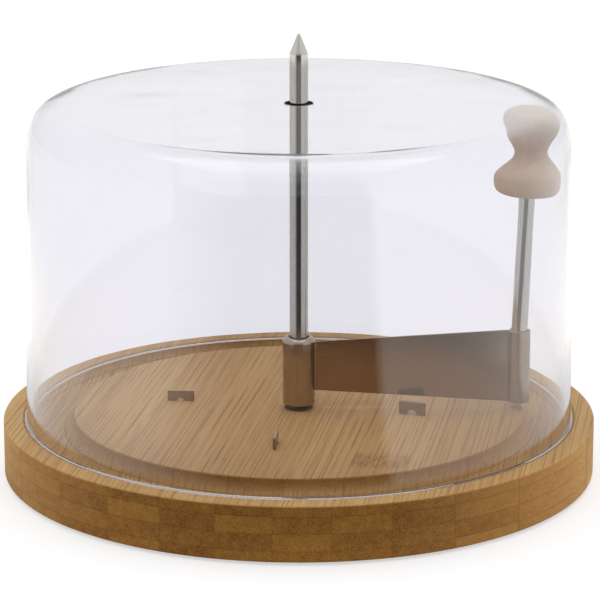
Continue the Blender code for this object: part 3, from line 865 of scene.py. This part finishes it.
@dataclass
class Blade:
    """The scraper blade: a strip of sheet that bends and curls round the handle rod."""

    finish: SteelFinish
    rod_distance: float
    sleeve_radius: float
    thickness: float = 0.0008
    bottom_at_sleeve: float = 0.0069
    top_below_sleeve_top: float = 0.0020
    bend_radius: float = 0.0013
    curl_radius: float = 0.0037
    curl_end: float = 508.0
    bend_steps: int = 10
    curl_steps: int = 72
    rounding: float = 0.00015
    bead_radius: float = 0.00055
    bead_place: float = 0.55
    bead_ripples: int = 16
    bead_ripple_steps: int = 4
    bead_ripple_share: float = 0.15

    def path(self) -> list[Point]:
        """Return the strip's centre line, seen from above.

        Returns:
            The points from the sleeve to the curl's end.
        """
        both = self.curl_radius + self.bend_radius
        turn = math.acos(self.bend_radius / both)
        center = (self.rod_distance - both * math.sin(turn), -self.bend_radius)
        bend = arc(center, self.bend_radius, 90, 90 - math.degrees(turn), self.bend_steps)
        start = 270 - math.degrees(turn)
        curl = arc((self.rod_distance, 0.0), self.curl_radius, start, self.curl_end, self.curl_steps)
        return [(self.sleeve_radius - self.thickness, 0.0)] + bend + curl[1:]

    def build(self) -> None:
        """Model and dress the blade and the weld beads on its inner end."""
        low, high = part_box("scraper_blade")
        board_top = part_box("base_board")[1].z
        top_at_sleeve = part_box("hub_sleeve")[1].z - self.top_below_sleeve_top
        bottom_at_sleeve = board_top + self.bottom_at_sleeve
        mesh = bmesh.new()
        path = self.path()
        lower = [mesh.verts.new((x, y, low.z)) for x, y in path]
        edges = [mesh.edges.new(pair) for pair in zip(lower, lower[1:])]
        grown = bmesh.ops.extrude_edge_only(mesh, edges=edges)["geom"]
        upper = [item for item in grown if isinstance(item, bmesh.types.BMVert)]
        bmesh.ops.translate(mesh, verts=upper, vec=(0.0, 0.0, high.z - low.z))
        for vert in mesh.verts:
            if vert.co.x < self.sleeve_radius:
                vert.co.z = bottom_at_sleeve if vert.co.z < (low.z + high.z) / 2 else top_at_sleeve
        bmesh.ops.recalc_face_normals(mesh, faces=mesh.faces)
        blade = dressed("steel_blade", mesh, self.finish, Body.SCRAPER, ["scraper_blade"])
        wall = blade.modifiers.new("sheet", "SOLIDIFY")
        wall.thickness = self.thickness
        wall.offset = 0.0
        wall.use_even_offset = True
        round_edges(blade, self.rounding)
        blade.modifiers.move(blade.modifiers.find("sheet"), 0)
        for name, side in (("weld_bead_front", -1.0), ("weld_bead_back", 1.0)):
            bead = self.bead(side, bottom_at_sleeve, top_at_sleeve)
            dressed(name, bead, self.finish, Body.SCRAPER, sharp=60.0)

    def bead(self, side: float, bottom: float, top: float) -> Mesh:
        """Return a weld bead that runs up the corner between the sleeve and the blade.

        Args:
            side: -1 for the front of the blade, 1 for its back.
            bottom: The height at which the bead starts.
            top: The height at which it ends.

        Returns:
            The bead's mesh.
        """
        mesh = bmesh.new()
        out = side * self.thickness * self.bead_place
        middle = Vector((self.sleeve_radius, out, (bottom + top) / 2))
        bmesh.ops.create_cone(
            mesh, cap_ends=True, segments=12, radius1=self.bead_radius, radius2=self.bead_radius,
            depth=top - bottom, matrix=Matrix.Translation(middle),
        )
        uprights = [edge for edge in mesh.edges if edge.calc_length() > (top - bottom) / 2]
        cuts = self.bead_ripples * self.bead_ripple_steps - 1
        bmesh.ops.subdivide_edges(mesh, edges=uprights, cuts=cuts)
        for vert in mesh.verts:
            turn = 2 * math.pi * self.bead_ripples * (vert.co.z - bottom) / (top - bottom)
            beat = 1.0 + self.bead_ripple_share * math.cos(turn)
            vert.co.x = middle.x + (vert.co.x - middle.x) * beat
            vert.co.y = middle.y + (vert.co.y - middle.y) * beat
        return mesh


@dataclass
class Handle:
    """The handle rod, which leans away from the pin above the curl, and the turned knob on its end."""

    rod_finish: SteelFinish
    knob_finish: BeechFinish
    rod_radius: float = 0.0030
    rod_edge: float = 0.0003
    rod_steps: int = 72
    knob_height: float = 0.0303
    bottom_radius: float = 0.0085
    skirt_radius: float = 0.0126
    skirt_level: float = 0.0062
    skirt_fullness: float = 3.0
    waist_radius: float = 0.0062
    waist_level: float = 0.0163
    cap_radius: float = 0.0103
    cap_level: float = 0.0255
    cap_fullness: float = 2.5
    plug_radius: float = 0.0047
    bore_radius: float = 0.0033
    bore_depth: float = 0.0180
    screw_hole_radius: float = 0.0016
    plug_depth: float = 0.0040
    plug_gap: float = 0.00005
    plug_edge: float = 0.0001
    skirt_steps: int = 14
    curve_steps: int = 20
    plug_steps: int = 12

    def __post_init__(self) -> None:
        """Read the knob's axis from the frame's joint."""
        joint = next(joint for joint in frame["joints"] if joint["name"] == "knob_turn")
        self.bend = Vector(joint["pos_m"])
        axis = Vector(joint["axis"])
        turn = Vector((0.0, 0.0, 1.0)).rotation_difference(axis).to_matrix().to_4x4()
        self.leaning = Matrix.Translation(self.bend) @ turn
        reach = (self.leaning.inverted() @ vert.co for vert in frame["nodes"]["knob"].data.vertices)
        self.knob_bottom = min(point.z for point in reach)

    def build(self) -> None:
        """Model and dress the rod, the knob and the plug in its top."""
        self.build_rod()
        self.build_knob()
        self.build_plug()

    def build_rod(self) -> None:
        """Model the rod upright and then lean the part above the bend."""
        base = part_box("handle_rod")[0].z - self.bend.z
        top = self.knob_bottom + self.bore_depth
        radius, edge = self.rod_radius, self.rod_edge
        outline = [
            (0.0, base), (radius - edge, base), (radius, base + edge), (radius, 0.0), (radius, top),
            (0.0, top),
        ]
        mesh = spun(outline, self.rod_steps, False)
        upright = Matrix.Translation(self.bend)
        for vert in mesh.verts:
            vert.co = (self.leaning if vert.co.z > 0.0 else upright) @ vert.co
        dressed("steel_rod", mesh, self.rod_finish, Body.SCRAPER, ["handle_rod"])

    def swell(self, share: float, fullness: float) -> float:
        """Return the share of its width that a rounded edge has at a share of its depth."""
        return (1.0 - (1.0 - share) ** fullness) ** (1 / fullness)

    def cap_point(self, share: float) -> Point:
        """Return the outline over the cap's widest ring, from 0 there to 1 at the top."""
        height = self.knob_bottom + self.cap_level + (self.knob_height - self.cap_level) * share
        return self.cap_radius * self.swell(1.0 - share, self.cap_fullness), height

    def plug_share(self) -> float:
        """Return the share of the cap's height at which the plug meets the knob."""
        return self.swell(1.0 - self.plug_radius / self.cap_radius, self.cap_fullness)

    def outside(self) -> list[Point]:
        """Return the knob's outside.

        Returns:
            The points from its bottom up over skirt, waist and cap to the plug.
        """
        outline = []
        for step in range(self.skirt_steps):
            share = (step / self.skirt_steps) ** 2
            width = self.swell(share, self.skirt_fullness)
            radius = self.bottom_radius + (self.skirt_radius - self.bottom_radius) * width
            outline.append((radius, self.knob_bottom + self.skirt_level * share))
        levels = [
            (self.skirt_radius, self.skirt_level), (self.waist_radius, self.waist_level),
            (self.cap_radius, self.cap_level),
        ]
        steps = self.curve_steps
        for (radius, level), (next_radius, next_level) in zip(levels, levels[1:]):
            for step in range(steps):
                eased = (1.0 - math.cos(math.pi * step / steps)) / 2
                height = self.knob_bottom + level + (next_level - level) * step / steps
                outline.append((radius + (next_radius - radius) * eased, height))
        shares = [self.plug_share() * math.sin(math.pi / 2 * step / steps) for step in range(steps + 1)]
        return outline + [self.cap_point(share) for share in shares]

    def build_knob(self) -> None:
        """Model the knob with the rod's bore below and the plug's seat above."""
        seat = self.cap_point(self.plug_share())[1] - self.plug_depth
        roof = self.knob_bottom + self.bore_depth
        outline = self.outside() + [
            (self.plug_radius, seat), (self.screw_hole_radius, seat), (self.screw_hole_radius, roof),
            (self.bore_radius, roof), (self.bore_radius, self.knob_bottom),
        ]
        mesh = spun(outline, TURN_STEPS, True)
        bmesh.ops.transform(mesh, matrix=self.leaning, verts=mesh.verts)
        dressed("beech_knob", mesh, self.knob_finish, Body.KNOB, ["knob"], sharp=45.0)

    def build_plug(self) -> None:
        """Model the plug that carries on the cap's curve."""
        radius = self.plug_radius - self.plug_gap
        start = self.plug_share()
        edge_height = self.cap_point(start)[1]
        bottom = edge_height - self.plug_depth + 2 * self.plug_edge
        outline = [(0.0, bottom), (radius, bottom), (radius, edge_height - self.plug_edge)]
        for step in range(1, self.plug_steps + 1):
            share = start + (1.0 - start) * math.sin(math.pi / 2 * step / self.plug_steps)
            outline.append(self.cap_point(share))
        outline[-1] = (0.0, self.knob_bottom + self.knob_height)
        mesh = spun(outline, TURN_STEPS, False)
        bmesh.ops.transform(mesh, matrix=self.leaning, verts=mesh.verts)
        dressed("beech_plug", mesh, self.knob_finish, Body.KNOB, ["knob_plug"], sharp=45.0)


@dataclass
class Dome:
    """The clear dome: a thin shell with a lip round its foot, a full shoulder and a hole for the pin."""

    finish: AcrylicFinish
    wall: float = 0.0020
    shoulder: float = 0.0150
    shoulder_fullness: float = 2.7
    draft: float = 0.0023
    hole_radius: float = 0.00505
    lip_width: float = 0.0008
    lip_height: float = 0.0002
    lip_rounding: float = 0.0001
    foot_edge: float = 0.00015
    hole_rounding: float = 0.0004
    steps: int = 256
    shoulder_steps: int = 48

    def __post_init__(self) -> None:
        """Read the dome's size from the frame."""
        low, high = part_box("dome")
        self.lip_radius = high.x
        self.foot = low.z
        self.top = high.z

    def wall_radius(self, height: float) -> float:
        """Return the outer radius of the straight wall at a height."""
        share = (height - self.foot) / (self.top - self.foot)
        return self.lip_radius - self.lip_width - self.draft * share

    def side(self, inset: float, shoulder: float, top: float) -> list[Point]:
        """Return the shoulder, from the end of the wall up to the flat top.

        Args:
            inset: How far the wall is set in from the outer face.
            shoulder: The shoulder's width and height.
            top: The height of the flat top.

        Returns:
            The outline.
        """
        center = self.wall_radius(top - shoulder) - inset - shoulder
        power = 2 / self.shoulder_fullness
        outline = []
        for out, up in arc((0.0, 0.0), 1.0, 0, 90, self.shoulder_steps):
            height = top - shoulder + shoulder * abs(up) ** power
            outline.append((center + shoulder * abs(out) ** power, height))
        return outline

    def foot_outline(self) -> list[Point]:
        """Return the foot and its lip.

        Returns:
            The points from the inside under the wall round to over the lip.
        """
        foot, outer, edge, soft = self.foot, self.lip_radius, self.foot_edge, self.lip_rounding
        inner = outer - self.lip_width - self.wall
        top = foot + self.lip_height
        return [
            (inner, foot + edge), (inner + edge, foot), (outer - edge, foot), (outer, foot + edge),
            *arc((outer - soft, top - soft), soft, 0, 90, 8), (self.wall_radius(top), top),
        ]

    def build(self) -> None:
        """Model and dress the dome."""
        ceiling = self.top - self.wall
        edge = self.hole_rounding
        hole = arc((self.hole_radius + edge, self.top - edge), edge, 90, 180, 5)
        hole += arc((self.hole_radius + edge, ceiling + edge), edge, 180, 270, 5)
        outer = self.foot_outline() + self.side(0.0, self.shoulder, self.top)
        inner = self.side(self.wall, self.shoulder - self.wall, ceiling)
        mesh = spun(outer + hole + inner[::-1], self.steps, True)
        dressed("acrylic_dome", mesh, self.finish, Body.DOME, ["dome"], sharp=40.0)


@dataclass
class Studio:
    """The pale floor, the soft lights and the camera.

    The studio is darker in a sector in front of the object, as where its table ends, so that polished
    steel shows a dark stripe between its light edges.
    """

    floor_size: float = 6.0
    seen_floor_level: float = 0.50
    seen_floor_glow: float = 0.56
    mirrored_floor_glow: float = 0.85
    mirrored_glow_start: Point = (0.170, 0.250)
    mirrored_glow_end: Point = (0.320, 0.500)
    mirrored_glow_far: float = 0.55
    mirrored_tint: Color = (1.000, 0.930, 0.780)
    floor_level: float = 0.80
    dark_floor_level: float = 0.05
    dark_floor_reach: Point = (0.112, 0.150)
    sky_level: float = 0.92
    dark_sky_level: float = 0.45
    dark_sky_height: Point = (0.45, 0.65)
    sector: Point = (math.radians(-37.0), math.radians(28.5))
    sector_blur: Point = (math.radians(28.0), math.radians(4.0))
    lamp_power: float = 6.0
    lamp_size: float = 1.6
    lamp_place: Triple = (0.0, 0.1, 1.7)
    camera_distance: float = 1.1019
    camera_over_board: float = 0.34064
    camera_pitch: float = math.radians(15.2)
    camera_shift: Point = (0.0020, -0.0006)
    focal_length: float = 186.24
    sensor: float = 36.0
    clip: Point = (0.05, 20.0)

    def build(self) -> None:
        """Set up the floor, the sky, the lamp and the camera."""
        self.build_floor()
        self.build_sky()
        self.build_lamps()
        self.build_camera()
        bpy.context.scene.view_settings.view_transform = "Standard"
        log.info("studio ready")

    def plain_sight(self, tree: Tree) -> Socket:
        """Return 1 for what the camera sees directly or through the dome, and 0 for other rays.

        Args:
            tree: The tree to fill.

        Returns:
            The choice's socket.
        """
        path = tree.add("LightPath").outputs
        straight = tree.math("LESS_THAN", path["Glossy Depth"], 0.5)
        straight = tree.times(straight, tree.math("LESS_THAN", path["Diffuse Depth"], 0.5))
        through = tree.times(path["Is Transmission Ray"], straight)
        return tree.math("MAXIMUM", path["Is Camera Ray"], through)

    def sector_share(self, tree: Tree, place: Socket) -> Socket:
        """Return 1 in the dark sector in front of the object and 0 elsewhere.

        Args:
            tree: The tree to fill.
            place: A point or direction, seen from the pin.

        Returns:
            The share's socket.
        """
        right, back, _ = tree.parts(place)
        azimuth = tree.math("ARCTAN2", right, tree.times(back, -1.0))
        start, end = self.sector
        start_half, end_half = (blur / 2 for blur in self.sector_blur)
        after = tree.spread(azimuth, start - start_half, start + start_half)
        before = tree.fade(azimuth, end - end_half, end + end_half)
        return tree.times(after, before)

    def build_floor(self) -> None:
        """Lay a pale floor that keeps soft shadows and meets the white background."""
        mesh = bmesh.new()
        bmesh.ops.create_grid(mesh, x_segments=1, y_segments=1, size=self.floor_size / 2)
        data = bpy.data.meshes.new("studio_floor")
        mesh.to_mesh(data)
        mesh.free()
        floor = bpy.data.objects.new("studio_floor", data)
        bpy.context.scene.collection.objects.link(floor)
        material = bpy.data.materials.new("studio_floor")
        tree = Tree(material)
        sight = self.plain_sight(tree)
        place = tree.add("TexCoord").outputs["Object"]
        reach = tree.add("VectorMath", {0: place}, operation="LENGTH").outputs["Value"]
        dark = tree.spread(reach, *self.dark_floor_reach)
        dark = tree.times(dark, self.sector_share(tree, place))
        level = tree.spread(dark, 0.0, 1.0, self.floor_level, self.dark_floor_level)
        level = tree.choose(sight, level, self.seen_floor_level)
        diffuse = tree.add("BsdfDiffuse", {"Color": level}).outputs[0]
        path = tree.add("LightPath").outputs
        glossy, through = path["Is Glossy Ray"], path["Is Transmission Ray"]
        mirrored = tree.math("SUBTRACT", glossy, through, clamp=True)
        mirrored = tree.times(mirrored, tree.spread(dark, 0.0, 1.0, self.mirrored_floor_glow, 0.0))
        mirrored = tree.times(mirrored, tree.spread(reach, *self.mirrored_glow_start))
        far = tree.spread(reach, *self.mirrored_glow_end, 1.0, self.mirrored_glow_far)
        mirrored = tree.times(mirrored, far)
        strength = tree.plus(tree.times(sight, self.seen_floor_glow), mirrored)
        tint = tree.mix(sight, self.mirrored_tint, (1.0, 1.0, 1.0))
        glow = tree.add("Emission", {"Color": tint, "Strength": strength}).outputs[0]
        tree.show(tree.add("AddShader", {0: diffuse, 1: glow}).outputs[0])
        data.materials.append(material)

    def build_sky(self) -> None:
        """Light the studio from all round but the dark sector, before a white background."""
        world = bpy.data.worlds.new("studio")
        bpy.context.scene.world = world
        tree = Tree(world)
        direction = tree.add("TexCoord").outputs["Generated"]
        height = tree.parts(direction)[2]
        low = tree.fade(height, *self.dark_sky_height)
        dark = tree.times(self.sector_share(tree, direction), low)
        level = tree.spread(dark, 0.0, 1.0, self.sky_level, self.dark_sky_level)
        sight = self.plain_sight(tree)
        strength = tree.choose(sight, level, 1.0)
        light = tree.add("Background", {"Color": (1.0, 1.0, 1.0, 1.0), "Strength": strength})
        tree.add("OutputWorld", {"Surface": light.outputs[0]})

    def build_lamps(self) -> None:
        """Hang one large soft lamp overhead."""
        lamp = bpy.data.lights.new("overhead", "AREA")
        lamp.shape = "SQUARE"
        lamp.size = self.lamp_size
        lamp.energy = self.lamp_power
        piece = bpy.data.objects.new("overhead", lamp)
        piece.location = self.lamp_place
        bpy.context.scene.collection.objects.link(piece)

    def build_camera(self) -> None:
        """Place the camera at the photograph's viewing angle."""
        data = bpy.data.cameras.new("camera")
        data.lens = self.focal_length
        data.sensor_width = self.sensor
        data.sensor_fit = "HORIZONTAL"
        data.shift_x, data.shift_y = self.camera_shift
        data.clip_start, data.clip_end = self.clip
        camera = bpy.data.objects.new("camera", data)
        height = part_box("base_board")[1].z + self.camera_over_board
        camera.location = (0.0, -self.camera_distance, height)
        camera.rotation_euler = (math.pi / 2 - self.camera_pitch, 0.0, 0.0)
        bpy.context.scene.collection.objects.link(camera)
        bpy.context.scene.camera = camera


def main() -> None:
    """Build every sub-assembly and the studio."""
    polished = SteelFinish("polished_steel", Slot.STEEL)
    # The sheet steel's dark brown colour is a painted reflection of the bamboo board in the blade and
    # lugs, not the steel's own colour.
    sheet = SteelFinish(
        "sheet_steel_painted_reflection", Slot.STEEL, (0.370, 0.275, 0.200), 0.14, 0.22, brushing=(20.0, 400.0, 500.0),
    )
    # The tube steel's brown colour is a painted reflection of the bamboo board in the sleeve, not the
    # steel's own colour.
    tube = SteelFinish("tube_steel_painted_reflection", Slot.STEEL, (0.470, 0.390, 0.310))
    zinc = SteelFinish("zinc_plate", Slot.ZINC, (0.55, 0.55, 0.57), 0.25, 0.40)
    beech = BeechFinish("turned_beech", Slot.BEECH)
    # The bush's near-black colour is painted shade: it stands in for the shadow under the steel sleeve.
    nylon = MouldedFinish("nylon_painted_shade", Slot.NYLON, (0.085, 0.075, 0.068), 0.40)
    rubber = MouldedFinish("dark_rubber", Slot.RUBBER, (0.045, 0.045, 0.045), 0.75)
    handle = Handle(polished, beech)
    Board(BambooFinish("strip_bamboo", Slot.BAMBOO), rubber).build()
    Pin(polished, zinc).build()
    Lugs(sheet).build()
    Hub(tube, nylon).build()
    Blade(sheet, handle.bend.x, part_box("hub_sleeve")[1].x).build()
    handle.build()
    Dome(AcrylicFinish("clear_acrylic", Slot.ACRYLIC)).build()
    Studio().build()


if __name__ == "__main__":
    main()
